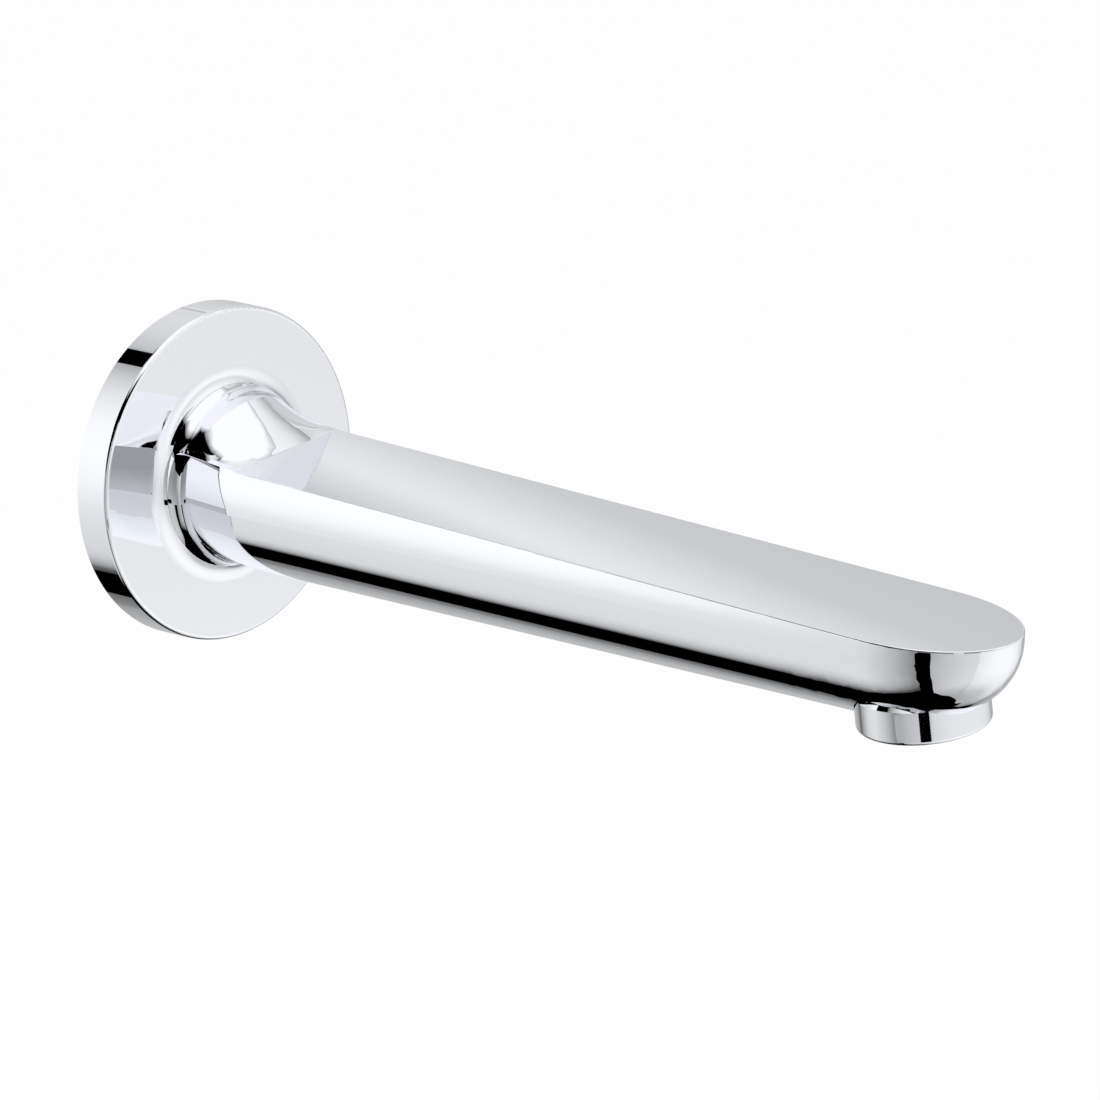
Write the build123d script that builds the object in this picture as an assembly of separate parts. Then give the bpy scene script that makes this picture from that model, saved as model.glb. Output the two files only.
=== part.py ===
import math
import os

from build123d import *

# Chromed wall spout for a bath. The wall is the plane X = 0, +X runs out along the spout, +Z is up.
# The origin is where the axis of the connection meets the wall. All sizes are in millimetres.

# Escutcheon
escutcheon_radius = 35.0
escutcheon_depth = 8.5
escutcheon_edge = 0.9
face_wall = 1.8
rim_wall = 2.2
hub_wall = 3.4
hub_back = 3.6
flare_radius = 5.2
seam_height = 1.3
seam_gap = 0.05
neck_clearance = 0.2

# Round neck, and where the flat top begins and how it falls
neck_radius = 17.5
neck_back = 2.5
crease_reach = 18.0
crease_height = 7.85
top_half_width = 14.7
top_fall_deg = 2.0
arch_corner_reach = 2.0
arch_crown_reach = 8.4
arch_haunch_width = 0.72
arch_haunch_rise = 0.6
arch_headroom = 4.0

# Hull: swell of the sides past the top, waist height, sag of the belly below the neck and fullness
# of the belly, at root and nose. The tip leans back by the rake, and its underside ends in a heel.
root_swell = 2.7
root_waist_height = -0.8
root_sag = 0.6
root_fullness = 0.575
nose_swell = 0.2
nose_waist_height = -1.5
nose_sag = 1.0
nose_fullness = 0.63
side_shoulder = 0.54
edge_round = 0.35
body_stations = 8
nose_length = 27.2
nose_rake = 0.22
nose_heel = 0.385
nose_overhang = 25.1

# Outlet and waterway
outlet_reach = 197.8
socket_radius = 9.2
socket_end = 22.0
throat_half_height = 7.0
throat_height = -2.5
channel_half_width = 10.8
channel_half_height = 4.4
channel_height = -5.0
chamber_radius = 9.0
chamber_roof = 2.9
outlet_depth = 5.7
outlet_thread_radius = 12.0
ring_recess_clearance = 0.3

# Aerator
ring_radius = 13.2
ring_height = 8.0
ring_drop = 1.0
ring_chamfer = 1.1
ring_round = 0.8
ring_seat_gap = 0.1
thread_clearance = 0.12
aerator_bore = 10.4
aerator_clearance = 0.1
aerator_seal_thickness = 1.4
aerator_seal_inner = 9.0
mouth_depth = 3.0
ledge_inner = 9.6
ledge_thickness = 1.2
grid_depth = 4.0
grid_pitch = 2.6
grid_web = 0.5
grid_rim = 1.1
diffuser_depth = 2.0
diffuser_holes = 14
diffuser_hole_radius = 0.55
diffuser_hole_circle = 7.4
filter_flange = 0.8
filter_wall = 0.7
filter_base_radius = 8.2
filter_top_radius = 5.4
filter_height = 3.0
filter_slots = 12
filter_slot_width = 0.8

# Connection nipple, its rings and the set screw
nipple_thread_radius = 10.48
nipple_thread_length = 20.0
nipple_thread_chamfer = 1.2
nipple_flange_radius = 13.0
nipple_flange_back = 0.0
nipple_end = 21.0
spigot_clearance = 0.15
nipple_bore = 5.5
hex_key = 12.0
hex_key_depth = 9.0
ring_section = 0.9
groove_slack = 0.3
o_ring_places = (6.5, 10.8)
screw_place = 17.0
screw_radius = 2.5
screw_clearance = 0.05
screw_tip_gap = 0.02
screw_sink = 0.9
screw_key = 2.5
screw_key_depth = 2.6
screw_groove_radius = 7.9
screw_groove_width = 5.6

# Rubber and foam rings behind the escutcheon
o_ring_place = 6.4
seal_width = 2.6
seal_depth = 2.6
seal_step = 0.8

# Levels that follow from the sizes above
crease_x = escutcheon_depth + crease_reach
nose_tip = outlet_reach + nose_overhang
nose_x = nose_tip - nose_length
top_slope = math.tan(math.radians(top_fall_deg))
root_waist = top_half_width + root_swell
nose_waist = top_half_width + nose_swell
root_belly = -(neck_radius + root_sag)
nose_belly = -(neck_radius + nose_sag)
ring_bottom = nose_belly - ring_drop
ring_seat = ring_bottom + ring_height
outlet_shoulder = ring_seat + outlet_depth
spigot_radius = socket_radius - spigot_clearance
neck_bore = neck_radius + neck_clearance
flare_end = escutcheon_depth + flare_radius
flare_outer = neck_radius + flare_radius
seam_x = escutcheon_depth + seam_height
seam_radius = flare_outer - math.sqrt(flare_radius**2 - (flare_radius - seam_height) ** 2)
arch_corner_height = math.sqrt(neck_radius**2 - top_half_width**2)
ring_top = ring_seat - ring_seat_gap
housing_top = outlet_shoulder - aerator_seal_thickness
housing_thread = outlet_thread_radius - thread_clearance
insert_radius = aerator_bore - aerator_clearance
ledge_top = ring_bottom + mouth_depth
grid_top = ledge_top + grid_depth
diffuser_top = grid_top + diffuser_depth


def top_height(x):
    """Height of the flat top at a distance from the wall."""
    return crease_height - (x - crease_x) * top_slope


def revolve_about_x(*outline):
    """Solid of revolution about the X axis from a closed outline of edges in X and radius."""
    return revolve(Plane.XY * make_face(outline), Axis.X, 360)


def ring_about_x(x_from, x_to, inner, outer):
    """Plain ring about the X axis."""
    disc = Circle(outer)
    if inner > 0:
        disc = disc - Circle(inner)
    return extrude(Plane.YZ.offset(x_from) * disc, x_to - x_from)


def ring_about_outlet(bottom, top, inner, outer):
    """Plain ring about the vertical axis of the outlet."""
    disc = Circle(outer)
    if inner > 0:
        disc = disc - Circle(inner)
    return extrude(Plane.XY.move(Location((outlet_reach, 0, bottom))) * disc, top - bottom)


def hull_points(waist, waist_height, corner_height, belly, fullness):
    """Control points in Y and Z of a section's right side: the wall to the waist, then the belly."""
    drop = waist_height - belly
    shoulder_height = waist_height + side_shoulder * (corner_height - waist_height)
    wall = [(top_half_width, corner_height), (waist, shoulder_height), (waist, waist_height)]
    underside = [
        (waist, waist_height),
        (waist, waist_height - fullness * drop),
        (fullness * waist, belly),
        (0, belly),
    ]
    return wall, underside


def hull_side(*sizes):
    """Right side of a hull section in Y and Z."""
    return [Bezier(*points) for points in hull_points(*sizes)]


def hull_section(x, right_side, corner_height, crown):
    """Closed section across the spout, with a flat top or, where a crown is given, an arched one."""
    left_side = [edge.mirror(Plane.YZ) for edge in right_side]
    left_corner = (-top_half_width, corner_height)
    right_corner = (top_half_width, corner_height)
    if crown > corner_height:
        top = ThreePointArc(left_corner, (0, crown), right_corner)
    else:
        top = Line(left_corner, right_corner)
    return Plane.YZ.offset(x) * make_face([top, *right_side, *left_side])


def make_neck():
    """Round neck with its flared foot, and the arched stretch from there to the crease."""
    foot_x = seam_x + seam_gap
    foot_radius = flare_outer - math.sqrt(flare_radius**2 - (flare_end - foot_x) ** 2)
    foot = revolve_about_x(
        Line((neck_back, 0), (neck_back, neck_radius)),
        Line((neck_back, neck_radius), (foot_x, neck_radius)),
        Line((foot_x, neck_radius), (foot_x, foot_radius)),
        RadiusArc((foot_x, foot_radius), (flare_end, neck_radius), -flare_radius),
        Line((flare_end, neck_radius), (flare_end, 0)),
        Line((flare_end, 0), (neck_back, 0)),
    )
    corner = (top_half_width, arch_corner_height)
    shoulder_turn = math.atan2(arch_corner_height, top_half_width) / 2
    shoulder = (neck_radius * math.cos(shoulder_turn), neck_radius * math.sin(shoulder_turn))
    flank = (neck_radius * math.sqrt(0.5), -neck_radius * math.sqrt(0.5))
    round_side = [
        ThreePointArc(corner, shoulder, (neck_radius, 0)),
        ThreePointArc((neck_radius, 0), flank, (0, -neck_radius)),
    ]
    rear = hull_section(flare_end, round_side, arch_corner_height, neck_radius)
    root_side = hull_side(root_waist, root_waist_height, crease_height, root_belly, root_fullness)
    front = hull_section(crease_x, root_side, crease_height, neck_radius + root_waist_height)
    return foot + loft([rear, front], ruled=True) - make_scoop_cutter()


def nose_patch(hand, points, reaches):
    """Quarter of the nose from the end of the body round to the tip, its level slices quarter ellipses."""
    rows = list(zip(points, reaches))
    grid = [
        [(nose_x, hand * width, height) for (width, height), reach in rows],
        [(nose_x + reach, hand * width, height) for (width, height), reach in rows],
        [(nose_x + reach, 0, height) for (width, height), reach in rows],
    ]
    weights = [[1.0] * len(rows), [math.sqrt(0.5)] * len(rows), [1.0] * len(rows)]
    return Face.make_bezier_surface(grid, weights)


def make_nose():
    """Rounded end: it takes up the body's last section at both sides, and its tip leans back."""
    corner_height = top_height(nose_x)
    sizes = (nose_waist, nose_waist_height, corner_height, nose_belly, nose_fullness)
    wall, underside = hull_points(*sizes)
    wall_reaches = [nose_length - nose_rake * (corner_height - height) for width, height in wall]
    flank_reach = nose_length - nose_rake * (corner_height - underside[1][1])
    underside_reaches = [wall_reaches[-1], flank_reach, nose_heel * nose_length, 0]
    skin = [nose_patch(hand, wall, wall_reaches) for hand in (-1, 1)]
    skin += [nose_patch(hand, underside, underside_reaches) for hand in (-1, 1)]
    back = hull_section(nose_x, hull_side(*sizes), corner_height, corner_height)
    front_half = Pos(nose_length, 0) * Rectangle(2 * nose_length, 2 * nose_length)
    lid = Pos(nose_x, 0, corner_height) * (Ellipse(nose_length, top_half_width) & front_half)
    return Solid(Shell([*skin, *back.faces(), *lid.faces()])) - make_flat_cutter()


def blend(near, far, share):
    """Points a share of the way from near ones to far ones."""
    return [(y + share * (v - y), z + share * (w - z)) for (y, z), (v, w) in zip(near, far)]


def make_bar():
    """Body from the crease to the nose, through stations at equal steps between its two end sections."""
    root = hull_points(root_waist, root_waist_height, crease_height, root_belly, root_fullness)
    end = hull_points(nose_waist, nose_waist_height, top_height(nose_x), nose_belly, nose_fullness)
    sections = []
    for station in range(body_stations + 1):
        share = station / body_stations
        x = crease_x + share * (nose_x - crease_x)
        side = [Bezier(*blend(near, far, share)) for near, far in zip(root, end)]
        sections.append(hull_section(x, side, top_height(x), top_height(x)))
    return loft(sections, ruled=True)


def make_hull():
    """Neck, body and nose in one, without the hollows."""
    bar = make_bar() + make_nose()
    flat_top = bar.faces().sort_by(Axis.Z)[-1]
    rim = flat_top.edges().sort_by(Axis.X)[1:]
    return make_neck() + fillet(rim, edge_round)


def make_flat_cutter():
    """What lies above the flat top."""
    ceiling = 2 * neck_radius
    far_x = nose_tip + neck_radius
    outline = Polyline(
        (crease_x, crease_height),
        (far_x, top_height(far_x)),
        (far_x, ceiling),
        (crease_x, ceiling),
        close=True,
    )
    return extrude(Plane.XZ * make_face(outline), 2 * neck_radius, both=True)


def make_scoop_cutter():
    """What lies above the ruled scoop between the crease and the neck's arch."""
    wide = flare_outer
    ceiling = neck_radius + arch_headroom
    corner_x = escutcheon_depth + arch_corner_reach
    crown_x = escutcheon_depth + arch_crown_reach
    lean = math.atan2(crown_x - corner_x, neck_radius - arch_corner_height)
    reach = math.hypot(crown_x - corner_x, neck_radius - arch_corner_height)
    arch_plane = Plane(
        origin=(corner_x, 0, arch_corner_height),
        x_dir=(0, 1, 0),
        z_dir=(math.cos(lean), 0, -math.sin(lean)),
    )
    haunch_y = arch_haunch_width * top_half_width
    haunch_rise = arch_haunch_rise * reach
    arch = Spline(
        (-top_half_width, 0),
        (-haunch_y, haunch_rise),
        (0, reach),
        (haunch_y, haunch_rise),
        (top_half_width, 0),
    )
    rear_rise = (ceiling - arch_corner_height) / math.cos(lean)
    rear_frame = Polyline(
        (top_half_width, 0),
        (wide, 0),
        (wide, rear_rise),
        (-wide, rear_rise),
        (-wide, 0),
        (-top_half_width, 0),
    )
    rear = arch_plane * make_face([arch, *rear_frame.edges()])
    front_outline = Polyline(
        (-top_half_width, crease_height),
        (top_half_width, crease_height),
        (wide, crease_height),
        (wide, ceiling),
        (-wide, ceiling),
        (-wide, crease_height),
        close=True,
    )
    front = Plane.YZ.offset(crease_x) * make_face(front_outline)
    return loft([rear, front], ruled=True)


def make_waterway():
    """Socket in the neck, cast channel, chamber over the outlet, and the outlet's bores."""
    socket = ring_about_x(neck_back, socket_end, 0, socket_radius)
    throat = Plane.YZ.offset(socket_end) * (
        Pos(0, throat_height) * Ellipse(channel_half_width, throat_half_height)
    )
    end = Plane.YZ.offset(outlet_reach) * (
        Pos(0, channel_height) * Ellipse(channel_half_width, channel_half_height)
    )
    channel = loft([throat, end])
    chamber_top = top_height(outlet_reach) - chamber_roof
    chamber = ring_about_outlet(outlet_shoulder, chamber_top, 0, chamber_radius)
    thread = ring_about_outlet(ring_seat, outlet_shoulder, 0, outlet_thread_radius)
    recess_radius = ring_radius + ring_recess_clearance
    recess = ring_about_outlet(2 * ring_bottom, ring_seat, 0, recess_radius)
    return [socket, channel, chamber, thread, recess]


def make_screw_hole():
    """Tapped hole for the set screw, straight up into the socket from below."""
    start = Plane.XY.move(Location((screw_place, 0, -2 * neck_radius)))
    return extrude(start * Circle(screw_radius + screw_clearance), 2 * neck_radius)


def make_spout_body():
    body = make_hull()
    for hollow in make_waterway():
        body = body - hollow
    return body - make_screw_hole()


def make_escutcheon():
    front = escutcheon_depth
    back_of_face = front - face_wall
    rim_inner = escutcheon_radius - rim_wall
    step_inner = rim_inner - seal_step
    hub_outer = neck_bore + hub_wall
    edge = escutcheon_edge
    rim_edge = RadiusArc((front - edge, escutcheon_radius), (front, escutcheon_radius - edge), edge)
    flare = RadiusArc((front, flare_outer), (seam_x, seam_radius), -flare_radius)
    return revolve_about_x(
        Line((0, rim_inner), (0, escutcheon_radius)),
        Line((0, escutcheon_radius), (front - edge, escutcheon_radius)),
        rim_edge,
        Line((front, escutcheon_radius - edge), (front, flare_outer)),
        flare,
        Line((seam_x, seam_radius), (seam_x, neck_bore)),
        Line((seam_x, neck_bore), (hub_back, neck_bore)),
        Line((hub_back, neck_bore), (hub_back, hub_outer)),
        Line((hub_back, hub_outer), (back_of_face, hub_outer)),
        Line((back_of_face, hub_outer), (back_of_face, step_inner)),
        Line((back_of_face, step_inner), (seal_depth, step_inner)),
        Line((seal_depth, step_inner), (seal_depth, rim_inner)),
        Line((seal_depth, rim_inner), (0, rim_inner)),
    )


def groove_about_x(place, bottom, top):
    """Ring of material removed for a rubber ring."""
    half = ring_section + groove_slack / 2
    return ring_about_x(place - half, place + half, bottom, top)


def rubber_ring(place, seat):
    """Rubber ring that lies on a seat radius."""
    return Pos(place, 0, 0) * Rot(0, 90, 0) * Torus(seat + ring_section, ring_section)


def make_connection_nipple():
    thread_start = nipple_flange_back - nipple_thread_length
    chamfer = nipple_thread_chamfer
    outline = Polyline(
        (thread_start, nipple_bore),
        (thread_start, nipple_thread_radius - chamfer),
        (thread_start + chamfer, nipple_thread_radius),
        (nipple_flange_back, nipple_thread_radius),
        (nipple_flange_back, nipple_flange_radius),
        (neck_back, nipple_flange_radius),
        (neck_back, spigot_radius),
        (nipple_end - chamfer, spigot_radius),
        (nipple_end, spigot_radius - chamfer),
        (nipple_end, nipple_bore),
        close=True,
    )
    nipple = revolve_about_x(*outline.edges())
    key = RegularPolygon(hex_key / 2, 6, major_radius=False)
    nipple = nipple - extrude(Plane.YZ.offset(nipple_end) * key, -hex_key_depth)
    for place in o_ring_places:
        nipple = nipple - groove_about_x(place, socket_radius - 2 * ring_section, 2 * socket_radius)
    groove_start = screw_place - screw_groove_width / 2
    groove_end = screw_place + screw_groove_width / 2
    return nipple - ring_about_x(groove_start, groove_end, screw_groove_radius, 2 * socket_radius)


def make_grub_screw():
    tip = -(screw_groove_radius + screw_tip_gap)
    head = -(neck_radius - screw_sink)
    start = Plane.XY.move(Location((screw_place, 0, head)))
    shank = extrude(start * Circle(screw_radius), tip - head)
    key = RegularPolygon(screw_key / 2, 6, major_radius=False)
    return shank - extrude(start * key, screw_key_depth)


def make_aerator_housing():
    chamfer = ring_chamfer
    ring = Polyline(
        (aerator_bore, housing_top),
        (housing_thread, housing_top),
        (housing_thread, ring_top),
        (ring_radius - chamfer, ring_top),
        (ring_radius, ring_top - chamfer),
        (ring_radius, ring_bottom),
        (aerator_bore + ring_round, ring_bottom),
        (ledge_inner, ledge_top - ledge_thickness),
        (ledge_inner, ledge_top),
        (aerator_bore, ledge_top),
        close=True,
    )
    housing = revolve(Plane.XZ * make_face(ring), Axis.Z, 360)
    lower = housing.edges().filter_by(GeomType.CIRCLE).group_by(Axis.Z)[0].sort_by(SortBy.RADIUS)[-1]
    return Pos(outlet_reach, 0, 0) * fillet(lower, ring_round)


def make_aerator_grid():
    """Flow straightener: square cells in a round rim."""
    hollow = insert_radius - grid_rim
    side = grid_pitch - grid_web
    count = 2 * int(hollow / grid_pitch) + 1
    cells = GridLocations(grid_pitch, grid_pitch, count, count)
    corner = side * math.sqrt(2) / 2
    kept = [spot for spot in cells.locations if spot.position.length + corner < hollow]
    plate = Circle(insert_radius)
    for spot in kept:
        plate = plate - spot * Rectangle(side, side)
    return extrude(Plane.XY.move(Location((outlet_reach, 0, ledge_top))) * plate, grid_depth)


def make_aerator_diffuser():
    """Plate with a circle of jets."""
    plate = Circle(insert_radius)
    for spot in PolarLocations(diffuser_hole_circle, diffuser_holes):
        plate = plate - spot * Circle(diffuser_hole_radius)
    return extrude(Plane.XY.move(Location((outlet_reach, 0, grid_top))) * plate, diffuser_depth)


def make_aerator_filter():
    """Domed screen: a flange and a tapered hollow cap with radial slots."""
    base = diffuser_top
    shoulder = base + filter_flange
    peak = shoulder + filter_height
    outline = Polyline(
        (filter_base_radius - filter_wall, base),
        (insert_radius, base),
        (insert_radius, shoulder),
        (filter_base_radius, shoulder),
        (filter_top_radius, peak),
        (0, peak),
        (0, peak - filter_wall),
        (filter_top_radius - filter_wall, peak - filter_wall),
        close=True,
    )
    cap = revolve(Plane.XZ * make_face(outline), Axis.Z, 360)
    slot_height = filter_height - 2 * filter_wall
    slot = Pos(filter_base_radius, 0, shoulder + filter_wall + slot_height / 2) * Box(
        filter_base_radius, filter_slot_width, slot_height
    )
    for turn in range(filter_slots):
        cap = cap - Rot(0, 0, turn * 360 / filter_slots) * slot
    return Pos(outlet_reach, 0, 0) * cap


def make_parts():
    o_ring_seat = socket_radius - 2 * ring_section
    escutcheon_groove = groove_about_x(o_ring_place, 0, neck_radius + 2 * ring_section)
    rim_inner = escutcheon_radius - rim_wall
    seal_outer = housing_thread
    return {
        "spout_body": make_spout_body(),
        "escutcheon": make_escutcheon() - escutcheon_groove,
        "escutcheon_o_ring": rubber_ring(o_ring_place, neck_radius),
        "wall_seal": ring_about_x(0, seal_depth, rim_inner - seal_width, rim_inner),
        "connection_nipple": make_connection_nipple(),
        "nipple_o_rings": Compound([rubber_ring(place, o_ring_seat) for place in o_ring_places]),
        "grub_screw": make_grub_screw(),
        "aerator_housing": make_aerator_housing(),
        "aerator_seal": ring_about_outlet(housing_top, outlet_shoulder, aerator_seal_inner, seal_outer),
        "aerator_filter": make_aerator_filter(),
        "aerator_diffuser": make_aerator_diffuser(),
        "aerator_grid": make_aerator_grid(),
    }


os.makedirs("parts", exist_ok=True)
for node, shape in make_parts().items():
    export_step(shape, f"parts/{node}.step")
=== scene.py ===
import math

import bpy
import numpy as np
from mathutils import Matrix, Vector


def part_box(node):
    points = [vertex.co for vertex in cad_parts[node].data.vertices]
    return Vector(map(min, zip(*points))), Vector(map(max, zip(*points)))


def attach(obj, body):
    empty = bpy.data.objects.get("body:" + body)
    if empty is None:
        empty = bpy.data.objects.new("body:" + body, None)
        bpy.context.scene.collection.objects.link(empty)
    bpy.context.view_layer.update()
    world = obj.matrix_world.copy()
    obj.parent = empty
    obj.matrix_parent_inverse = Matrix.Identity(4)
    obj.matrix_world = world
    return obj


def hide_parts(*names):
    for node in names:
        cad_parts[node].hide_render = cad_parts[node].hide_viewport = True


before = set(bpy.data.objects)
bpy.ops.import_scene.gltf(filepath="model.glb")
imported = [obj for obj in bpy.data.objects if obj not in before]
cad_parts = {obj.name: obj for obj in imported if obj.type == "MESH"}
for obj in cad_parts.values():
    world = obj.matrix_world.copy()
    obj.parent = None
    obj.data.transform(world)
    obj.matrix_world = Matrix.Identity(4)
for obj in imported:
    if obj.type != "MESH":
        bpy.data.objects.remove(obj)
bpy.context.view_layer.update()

# Connection nipple: the brass tube that is screwed into the wall with a hex key and carries the spout.
# Turned from bar, with a parallel pipe thread on the wall end, and left bare, so lathe marks run round it.
nipple_back, nipple_front = [corner[0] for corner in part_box("connection_nipple")]
thread_radius = 0.01048
thread_depth = 0.00116
thread_pitch = 0.001814
thread_chamfer = 0.0012
thread_relief = 0.0018
flange_radius = 0.013
flange_front = 0.0025
spigot_radius = 0.00905
spigot_chamfer = 0.0012
ring_groove_places = (0.0065, 0.0108)
ring_groove_half_width = 0.00105
ring_groove_floor = 0.0074
screw_groove_place = 0.017
screw_groove_half_width = 0.0028
screw_groove_floor = 0.0079
bore_radius = 0.0055
key_half_width = 0.006
key_depth = 0.009
key_side = math.radians(60)
degrees_per_facet = 3
steps_per_pitch = 24
sharp_angle = math.radians(40)
turns = np.radians(np.arange(0, 360, degrees_per_facet))


def thread_ring(x):
    """Radius round the thread: rounded crests and roots on a helix, cut away by the chamfer at the start."""
    crest = 0.5 + 0.5 * np.cos(2 * math.pi * x / thread_pitch - turns)
    lead_in = thread_radius - thread_chamfer + x - nipple_back
    return np.minimum(thread_radius - thread_depth * (1 - crest), lead_in)


def plain_ring(radius):
    """The same radius all round."""
    return np.full(len(turns), radius)


hex_ring = key_half_width / np.cos(turns % key_side - key_side / 2)
relief_ring = plain_ring(thread_radius - thread_depth)
rings = [(nipple_back, plain_ring(bore_radius))]
for x in np.arange(nipple_back, -thread_relief, thread_pitch / steps_per_pitch):
    rings.append((x, thread_ring(x)))
rings += [(-thread_relief, relief_ring), (0, relief_ring), (0, plain_ring(flange_radius))]
rings += [(flange_front, plain_ring(flange_radius)), (flange_front, plain_ring(spigot_radius))]
spigot_grooves = [(middle, ring_groove_half_width, ring_groove_floor) for middle in ring_groove_places]
spigot_grooves.append((screw_groove_place, screw_groove_half_width, screw_groove_floor))
for middle, half_width, radius in spigot_grooves:
    for side, level in ((-1, spigot_radius), (-1, radius), (1, radius), (1, spigot_radius)):
        rings.append((middle + side * half_width, plain_ring(level)))
rings.append((nipple_front, plain_ring(spigot_radius - spigot_chamfer)))
rings += [(nipple_front, hex_ring), (nipple_front - key_depth, hex_ring)]
rings.append((nipple_front - key_depth, plain_ring(bore_radius)))
points = [
    (x, radius * math.cos(turn), radius * math.sin(turn))
    for x, radii in rings
    for turn, radius in zip(turns, radii)
]
around = len(turns)
quads = []
for i in range(len(rings)):
    this_row = i * around
    next_row = (i + 1) % len(rings) * around
    for j in range(around):
        k = (j + 1) % around
        quads.append((this_row + j, this_row + k, next_row + k, next_row + j))
nipple_mesh = bpy.data.meshes.new("threaded_nipple")
nipple_mesh.from_pydata(points, [], quads)
nipple_mesh.polygons.foreach_set("use_smooth", [True] * len(quads))
nipple_mesh.set_sharp_from_angle(angle=sharp_angle)
brass_dark = (0.58, 0.40, 0.16, 1)
brass_light = (0.74, 0.55, 0.27, 1)
lathe_mark_stretch = (2600.0, 40.0, 40.0)


def new_material(name):
    """A material, with its nodes, links and shader at hand."""
    material = bpy.data.materials.new(name)
    material.use_nodes = True
    tree = material.node_tree
    return material, tree.nodes, tree.links, tree.nodes["Principled BSDF"]


def two_tones(nodes, links, mask, dark, light):
    """Colour that goes from dark to light by a mask."""
    tone = nodes.new("ShaderNodeValToRGB")
    tone.color_ramp.elements[0].color = dark
    tone.color_ramp.elements[1].color = light
    links.new(mask, tone.inputs["Fac"])
    return tone.outputs["Color"]


def uneven_gloss(nodes, links, mask, low, high):
    """Roughness that goes from low to high by a mask."""
    gloss = nodes.new("ShaderNodeMapRange")
    gloss.inputs["To Min"].default_value = low
    gloss.inputs["To Max"].default_value = high
    links.new(mask, gloss.inputs["Value"])
    return gloss.outputs["Result"]


brass, nodes, links, shader = new_material("turned_brass")
shader.inputs["Metallic"].default_value = 1.0
place = nodes.new("ShaderNodeTexCoord")
stretch = nodes.new("ShaderNodeMapping")
stretch.inputs["Scale"].default_value = lathe_mark_stretch
links.new(place.outputs["Object"], stretch.inputs["Vector"])
lathe_marks = nodes.new("ShaderNodeTexNoise")
lathe_marks.inputs["Scale"].default_value = 1.0
lathe_marks.inputs["Detail"].default_value = 3.0
links.new(stretch.outputs["Vector"], lathe_marks.inputs["Vector"])
marks = lathe_marks.outputs["Fac"]
links.new(two_tones(nodes, links, marks, brass_dark, brass_light), shader.inputs["Base Color"])
links.new(uneven_gloss(nodes, links, marks, low=0.2, high=0.4), shader.inputs["Roughness"])
nipple_mesh.materials.append(brass)
nipple = bpy.data.objects.new("threaded_nipple", nipple_mesh)
bpy.context.scene.collection.objects.link(nipple)
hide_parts("connection_nipple")
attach(nipple, "root")

# Rubber rings: two on the nipple, one between escutcheon and neck, and the flat aerator washer.
# Moulded black rubber with a matt, slightly dusty skin, held in grooves or between shoulders.
rubber_dark = (0.018, 0.018, 0.019, 1)
rubber_light = (0.042, 0.042, 0.044, 1)


def fine_noise(nodes, links, scale):
    """Noise that is fixed to the piece."""
    place = nodes.new("ShaderNodeTexCoord")
    noise = nodes.new("ShaderNodeTexNoise")
    noise.inputs["Scale"].default_value = scale
    links.new(place.outputs["Object"], noise.inputs["Vector"])
    return noise.outputs["Fac"]


def dress(name, material):
    """Puts the material on a CAD piece, in place of the one that it came with."""
    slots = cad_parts[name].data.materials
    slots.clear()
    slots.append(material)


rubber, nodes, links, shader = new_material("moulded_rubber")
shader.inputs["Roughness"].default_value = 0.62
skin = fine_noise(nodes, links, scale=900.0)
links.new(two_tones(nodes, links, skin, rubber_dark, rubber_light), shader.inputs["Base Color"])
for name in ("nipple_o_rings", "escutcheon_o_ring", "aerator_seal"):
    dress(name, rubber)

# Wall seal: the ring of closed-cell foam pressed between the escutcheon's rim and the tiles.
# Die-cut from sheet, with the cells showing as fine pits.
foam_dark = (0.035, 0.035, 0.037, 1)
foam_light = (0.12, 0.12, 0.125, 1)
foam, nodes, links, shader = new_material("cell_foam")
shader.inputs["Roughness"].default_value = 0.9
place = nodes.new("ShaderNodeTexCoord")
cells = nodes.new("ShaderNodeTexVoronoi")
cells.inputs["Scale"].default_value = 2200.0
links.new(place.outputs["Object"], cells.inputs["Vector"])
cell_walls = cells.outputs["Distance"]
links.new(two_tones(nodes, links, cell_walls, foam_dark, foam_light), shader.inputs["Base Color"])
pits = nodes.new("ShaderNodeBump")
pits.inputs["Strength"].default_value = 0.5
pits.inputs["Distance"].default_value = 0.0002
links.new(cell_walls, pits.inputs["Height"])
links.new(pits.outputs["Normal"], shader.inputs["Normal"])
dress("wall_seal", foam)

# Escutcheon: the round chromed plate that covers the hole in the wall, pressed and turned from brass.
# Polished before plating; the buffing leaves a barely uneven gloss.
chrome_colour = (0.915, 0.93, 0.965, 1)
chrome_smoothest = 0.015
chrome_roughest = 0.035
polish = bpy.data.node_groups.new("buffed_gloss", "ShaderNodeTree")
for socket in ("Low", "High", "Scale"):
    polish.interface.new_socket(name=socket, in_out="INPUT", socket_type="NodeSocketFloat")
polish.interface.new_socket(name="Roughness", in_out="OUTPUT", socket_type="NodeSocketFloat")
entry = polish.nodes.new("NodeGroupInput")
leave = polish.nodes.new("NodeGroupOutput")
place = polish.nodes.new("ShaderNodeTexCoord")
haze = polish.nodes.new("ShaderNodeTexNoise")
haze.inputs["Detail"].default_value = 4.0
polish.links.new(place.outputs["Object"], haze.inputs["Vector"])
polish.links.new(entry.outputs["Scale"], haze.inputs["Scale"])
spread = polish.nodes.new("ShaderNodeMapRange")
spread.inputs["From Min"].default_value = 0.3
spread.inputs["From Max"].default_value = 0.7
polish.links.new(haze.outputs["Fac"], spread.inputs["Value"])
polish.links.new(entry.outputs["Low"], spread.inputs["To Min"])
polish.links.new(entry.outputs["High"], spread.inputs["To Max"])
polish.links.new(spread.outputs["Result"], leave.inputs["Roughness"])


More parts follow.
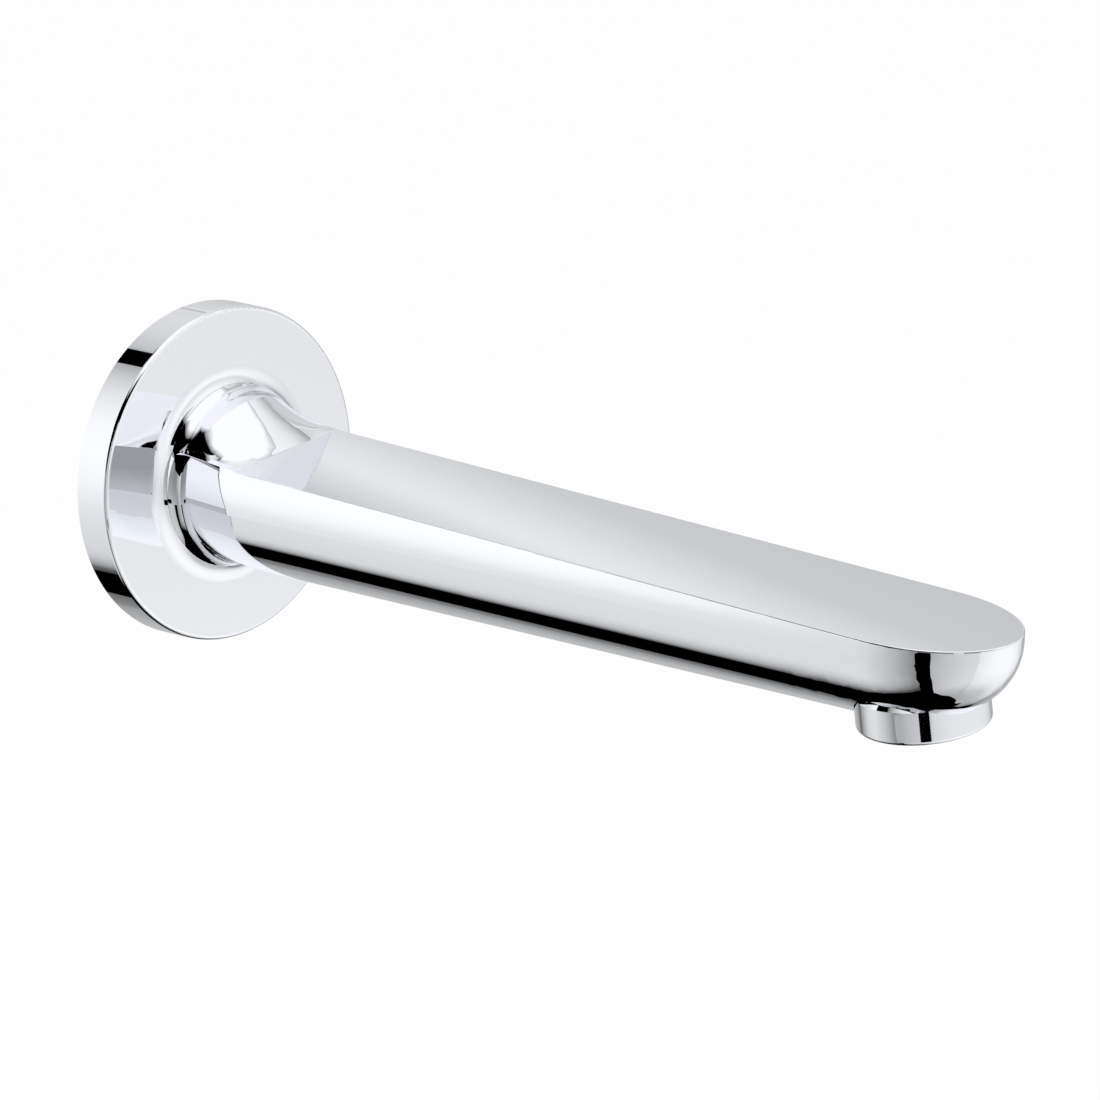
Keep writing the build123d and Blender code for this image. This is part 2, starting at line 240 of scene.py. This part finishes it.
def chrome_finish(name, scale):
    """Mirror chrome with its own buffed gloss."""
    chrome, nodes, links, mirror = new_material(name)
    mirror.inputs["Base Color"].default_value = chrome_colour
    mirror.inputs["Metallic"].default_value = 1.0
    buffed = nodes.new("ShaderNodeGroup")
    buffed.node_tree = polish
    buffed.inputs["Low"].default_value = chrome_smoothest
    buffed.inputs["High"].default_value = chrome_roughest
    buffed.inputs["Scale"].default_value = scale
    links.new(buffed.outputs["Roughness"], mirror.inputs["Roughness"])
    return chrome


dress("escutcheon", chrome_finish("chrome_plate", scale=60.0))

# Spout body: the long casting that slides over the nipple, flat on top with a scoop behind it.
# Cast brass, ground, polished and chromed.
dress("spout_body", chrome_finish("chrome_casting", scale=45.0))

# Grub screw: the hex socket screw under the neck that holds the body on the nipple.
# Dark steel, turned, with the socket pressed in.
steel, nodes, links, shader = new_material("dark_screw_steel")
shader.inputs["Metallic"].default_value = 1.0
shader.inputs["Base Color"].default_value = (0.42, 0.42, 0.43, 1)
wear = fine_noise(nodes, links, scale=1500.0)
links.new(uneven_gloss(nodes, links, wear, low=0.25, high=0.5), shader.inputs["Roughness"])
dress("grub_screw", steel)

# Aerator insert: grid, jet plate and screen, stacked in the ring under the nose.
# Injection-moulded pale grey plastic with a fine satin texture.
plastic_dark = (0.56, 0.58, 0.60, 1)
plastic_light = (0.66, 0.68, 0.70, 1)
plastic, nodes, links, shader = new_material("moulded_grey_plastic")
shader.inputs["Roughness"].default_value = 0.42
satin = fine_noise(nodes, links, scale=2500.0)
links.new(two_tones(nodes, links, satin, plastic_dark, plastic_light), shader.inputs["Base Color"])
for name in ("aerator_grid", "aerator_diffuser", "aerator_filter"):
    dress(name, plastic)

# Aerator ring: the chromed sleeve that screws into the body from below and holds the insert.
# Turned brass, plated, with a small chamfer at the top and a rounded lip.
dress("aerator_housing", chrome_finish("chrome_ring", scale=90.0))

# Surroundings: plain white all round, for the camera and for what metal mirrors.
# As a light on the part it is dimmer.
white_light = 0.55
white_seen = 1.0
world = bpy.data.worlds.new("studio")
bpy.context.scene.world = world
world.use_nodes = True
nodes = world.node_tree.nodes
links = world.node_tree.links
white = nodes["Background"]
white.inputs["Color"].default_value = (1, 1, 1, 1)
ray = nodes.new("ShaderNodeLightPath")
seen = nodes.new("ShaderNodeMath")
seen.operation = "ADD"
links.new(ray.outputs["Is Camera Ray"], seen.inputs[0])
links.new(ray.outputs["Is Glossy Ray"], seen.inputs[1])
through = nodes.new("ShaderNodeMath")
through.operation = "ADD"
through.use_clamp = True
links.new(seen.outputs["Value"], through.inputs[0])
links.new(ray.outputs["Is Transmission Ray"], through.inputs[1])
level = nodes.new("ShaderNodeMapRange")
level.inputs["To Min"].default_value = white_light
level.inputs["To Max"].default_value = white_seen
links.new(through.outputs["Value"], level.inputs["Value"])
links.new(level.outputs["Result"], white.inputs["Strength"])

# Floor: a wide pale matt floor far below the spout, which hangs on a wall.
# It glows nearly white from above, and is clear from below, so that it never hides the part.
floor_reach = 6
floor_height = -1
floor_glow = 0.97
floor_corners = [
    (x * floor_reach, y * floor_reach, floor_height) for x, y in ((-1, -1), (1, -1), (1, 1), (-1, 1))
]
floor_mesh = bpy.data.meshes.new("floor")
floor_mesh.from_pydata(floor_corners, [], [(0, 1, 2, 3)])
floor = bpy.data.objects.new("floor", floor_mesh)
bpy.context.scene.collection.objects.link(floor)
pale, nodes, links, matt = new_material("pale_floor")
matt.inputs["Base Color"].default_value = (0.9, 0.9, 0.9, 1)
matt.inputs["Roughness"].default_value = 0.9
glow = nodes.new("ShaderNodeEmission")
glow.inputs["Strength"].default_value = 1.0
ray = nodes.new("ShaderNodeLightPath")
seen = nodes.new("ShaderNodeMath")
seen.operation = "ADD"
seen.use_clamp = True
links.new(ray.outputs["Is Camera Ray"], seen.inputs[0])
links.new(ray.outputs["Is Glossy Ray"], seen.inputs[1])
share = nodes.new("ShaderNodeMath")
share.operation = "MULTIPLY"
share.inputs[1].default_value = floor_glow
links.new(seen.outputs["Value"], share.inputs[0])
blend = nodes.new("ShaderNodeMixShader")
links.new(share.outputs["Value"], blend.inputs["Fac"])
links.new(matt.outputs["BSDF"], blend.inputs[1])
links.new(glow.outputs["Emission"], blend.inputs[2])
from_below = nodes.new("ShaderNodeNewGeometry")
clear = nodes.new("ShaderNodeBsdfTransparent")
one_sided = nodes.new("ShaderNodeMixShader")
links.new(from_below.outputs["Backfacing"], one_sided.inputs["Fac"])
links.new(blend.outputs["Shader"], one_sided.inputs[1])
links.new(clear.outputs["BSDF"], one_sided.inputs[2])
links.new(one_sided.outputs["Shader"], nodes["Material Output"].inputs["Surface"])
floor_mesh.materials.append(pale)

# Light tent: curved softboxes of glowing cloth all round the spout, with gaps between them.
# Only reflections see the tent, so the chrome has something to mirror and the background stays clean.
# Chrome swallows a little of the light, and the cloth is brighter to make up for it.
tent_middle = Vector((0.11, 0, 0))
tent_radius = 0.8
neck_card_radius = 0.79
overhead_radius = 0.82
chrome_loss = 1.07
cloth_points = 121
cloth, nodes, links, shader = new_material("softbox_cloth")
nodes.remove(shader)
glow = nodes.new("ShaderNodeEmission")
brightness = nodes.new("ShaderNodeAttribute")
brightness.attribute_name = "brightness"
links.new(brightness.outputs["Fac"], glow.inputs["Strength"])
links.new(glow.outputs["Emission"], nodes["Material Output"].inputs["Surface"])


def hang(name, points, levels, across, cloth_used):
    """Stretches cloth over rows of points and hides it from all but reflections."""
    rows = len(points) // across
    quads = [
        (i * across + j, i * across + j + 1, (i + 1) * across + j + 1, (i + 1) * across + j)
        for i in range(rows - 1)
        for j in range(across - 1)
    ]
    mesh = bpy.data.meshes.new(name)
    mesh.from_pydata(points, [], quads)
    mesh.attributes.new("brightness", "FLOAT", "POINT").data.foreach_set("value", levels)
    mesh.materials.append(cloth_used)
    piece = bpy.data.objects.new(name, mesh)
    bpy.context.scene.collection.objects.link(piece)
    piece.visible_camera = False
    piece.visible_diffuse = False
    piece.visible_transmission = False
    piece.visible_shadow = False


def tent_point(middle, radius, bearing, elevation):
    """Place on a sphere round the given middle."""
    turn = math.radians(bearing)
    rise = math.radians(elevation)
    flat = radius * math.cos(rise)
    return middle + Vector((flat * math.cos(turn), flat * math.sin(turn), radius * math.sin(rise)))


def softbox(name, radius, columns, fade, edge=((0, 1.0),)):
    """Curved panel round the spout. A column is a bearing with its lowest and highest elevation and its
    brightness; fade is the share of that brightness by elevation, edge the share by height above the
    panel's lower edge."""
    bearing, low, high, bright = zip(*columns)
    height, share = zip(*fade)
    above, edge_share = zip(*edge)
    points = []
    levels = []
    for turn in np.linspace(bearing[0], bearing[-1], cloth_points):
        bottom = np.interp(turn, bearing, low)
        top = np.interp(turn, bearing, high)
        for rise in np.linspace(bottom, top, cloth_points):
            points.append(tent_point(tent_middle, radius, turn, rise))
            dimmed = np.interp(rise, height, share) * np.interp(rise - bottom, above, edge_share)
            levels.append(chrome_loss * np.interp(turn, bearing, bright) * dimmed)
    hang(name, points, levels, cloth_points, cloth)


softbox(
    "left_softbox",
    tent_radius,
    columns=[
        (-175, -33, 62, 0.4), (-166, -34, 62, 0.62), (-158, -36, 62, 0.78), (-153, -42, 62, 0.86),
        (-147, -47, 50, 0.95), (-138, -48.5, 30, 1.0), (-130, -49, 26, 1.0), (-114, -51, 17, 0.8),
        (-104, -51, 10, 0.64), (-90.3, -51, 13, 0.33),
    ],
    fade=[(-36, 0.7), (-20, 0.74), (-10, 0.8), (0, 0.93), (14, 1.0)],
    edge=[(0, 0.1), (2, 0.25), (4, 0.5), (7, 0.72), (10, 0.88), (14, 1.0)],
)
corner_fade = [(-24, 1.6), (-14, 1.25), (-5, 1.05), (6, 0.85)]
softbox(
    "corner_softbox",
    tent_radius,
    columns=[
        (-79.3, -58, 16, 0.28), (-69, -66, 22, 0.33), (-60, -70, 26, 0.36), (-45, -77, 32, 0.4),
        (-30, -80, 28, 0.42),
    ],
    fade=[(-80, 0.9), (-70, 1.05), (-62, 1.35), (-55, 1.7), *corner_fade],
)
softbox(
    "corner_curtain",
    tent_radius,
    columns=[(-90.3, -21.9, 13, 0.28), (-79.3, -21.9, 16, 0.28)],
    fade=corner_fade,
)
softbox(
    "neck_card",
    neck_card_radius,
    columns=[(-59.5, -13, 26, 0.8), (-57, -13, 26, 0.95), (-50.5, -13, 26, 0.95)],
    fade=[(-13, 0.85), (10, 1.0)],
)
softbox(
    "front_softbox",
    tent_radius,
    columns=[
        (-30, -80, 28, 0.8), (-18, -82, 20, 0.87), (0, -85, 34, 0.94), (20, -85, 50, 0.96),
        (48, -85, 50, 0.96), (70, -80, 50, 0.9), (82, -80, 50, 0.8), (92, -80, 50, 0.6), (100, -80, 50, 0.35),
    ],
    fade=[
        (-80, 0.45), (-70, 0.6), (-60, 0.9), (-48, 1.0), (-34, 1.0), (-22, 0.84), (-12, 0.8), (2, 0.95),
        (14, 1.0), (19, 0.85), (22, 0.78), (32, 0.87), (42, 0.98),
    ],
)
softbox(
    "rear_softbox",
    tent_radius,
    columns=[
        (100, -60, 60, 0.85), (115, -60, 60, 0.95), (130, -60, 60, 1.0), (150, -60, 60, 1.0),
        (160, -60, 60, 0.88), (172, -60, 60, 0.7), (175, -60, 35, 0.5), (184, -60, 35, 0.3),
    ],
    fade=[(-60, 0.25), (-50, 0.42), (-45, 0.48), (-20, 0.5), (0, 0.58), (19, 0.68), (30, 0.72), (60, 0.9)],
)
overhead_level = 0.98
overhead_rim = [
    (-180, 62), (-140, 60), (-120, 54), (-60, 56), (-30, 56), (-18, 46), (0, 36), (70, 45), (180, 55),
]
softbox(
    "overhead_softbox",
    overhead_radius,
    columns=[(bearing, low, 90, overhead_level) for bearing, low in overhead_rim],
    fade=[(0, 1.0), (90, 1.0)],
    edge=[(0, 0.1), (10, 1.0)],
)

# Black cloth: a surround behind the softboxes, which shows as black in the gaps, and two small flags.
# The flags stand nearer the nose: one for the dark strip on the ring, one for the top of the nose's strip.
surround_radius = 0.9
flag_points = 49
black_cloth, nodes, links, shader = new_material("black_cloth")
shader.inputs["Base Color"].default_value = (0, 0, 0, 1)
shader.inputs["Specular IOR Level"].default_value = 0.0


def black_flag(name, middle, radius, bearings, elevations):
    """Curved black cloth that keeps a stretch of the tent out of the reflections."""
    points = [
        tent_point(middle, radius, turn, rise)
        for turn in np.linspace(*bearings, flag_points)
        for rise in np.linspace(*elevations, flag_points)
    ]
    hang(name, points, [0.0] * len(points), flag_points, black_cloth)


black_flag("black_surround", tent_middle, surround_radius, bearings=(-180, 180), elevations=(-90, 90))
ring_flag_middle = Vector((0.2, 0, -0.03))
ring_flag_radius = 0.5
black_flag("ring_flag", ring_flag_middle, ring_flag_radius, bearings=(-56, -38), elevations=(-23, -17.5))
nose_flag_middle = Vector((0.205, -0.02, 0.005))
nose_flag_radius = 0.3
black_flag(
    "nose_flag", nose_flag_middle, nose_flag_radius, bearings=(-97.5, -85.5), elevations=(-24.3, -19.5)
)

# Top reflector: a narrow level board of the same cloth, which the flat top mirrors.
# A soft bright stripe runs along it, turned a little from the spout's own line.
reflector_height = 0.155
reflector_ends = (-0.30, 0.02)
reflector_sides = (0.225, 0.315)
reflector_points = 81
stripe_turn = math.radians(6.4)
stripe_offset = 0.2324
stripe_steps = (-0.020, -0.0125, 0, 0.0075, 0.025, 0.050)
stripe_levels = (0.5, 0.64, 0.8, 0.76, 0.6, 0.56)
points = []
levels = []
for x in np.linspace(*reflector_ends, reflector_points):
    for y in np.linspace(*reflector_sides, reflector_points):
        points.append((x, y, reflector_height))
        from_stripe = x * math.sin(stripe_turn) + y * math.cos(stripe_turn) - stripe_offset
        levels.append(chrome_loss * np.interp(from_stripe, stripe_steps, stripe_levels))
hang("top_reflector", points, levels, reflector_points, cloth)

# Lamps: a key softbox in front on the near side and a weaker fill behind, both turned to the spout.
# They light what isn't chrome, so reflections don't show them.
lamp_target = Vector((0.1, 0, 0))
for name, spot, size, power in (
    ("key_softbox", Vector((0.9, -1.2, 1.6)), 1.2, 14.0),
    ("fill_softbox", Vector((-0.9, 1.0, 1.4)), 1.4, 9.0),
):
    lamp = bpy.data.lights.new(name, "AREA")
    lamp.size = size
    lamp.energy = power
    lit = bpy.data.objects.new(name, lamp)
    lit.location = spot
    lit.rotation_euler = (lamp_target - spot).to_track_quat("-Z", "Y").to_euler()
    lit.visible_glossy = False
    bpy.context.scene.collection.objects.link(lit)

# Camera: a long lens, in front of the spout on its near side and a little above it.
# Place, bearing, elevation and roll were fitted to the photo.
camera_spot = (1.18047, -1.04245, 0.52166)
camera_bearing = -43.985
camera_elevation = 19.203
camera_roll = -6.201
camera_data = bpy.data.cameras.new("camera")
camera_data.sensor_width = 36.0
camera_data.lens = 261.8
camera_data.clip_end = 50.0
camera = bpy.data.objects.new("camera", camera_data)
bpy.context.scene.collection.objects.link(camera)
camera.matrix_world = (
    Matrix.Translation(camera_spot)
    @ Matrix.Rotation(math.radians(90 + camera_bearing), 4, "Z")
    @ Matrix.Rotation(math.radians(90 - camera_elevation), 4, "X")
    @ Matrix.Rotation(math.radians(camera_roll), 4, "Z")
)
bpy.context.scene.camera = camera
bpy.context.scene.view_settings.view_transform = "Standard"
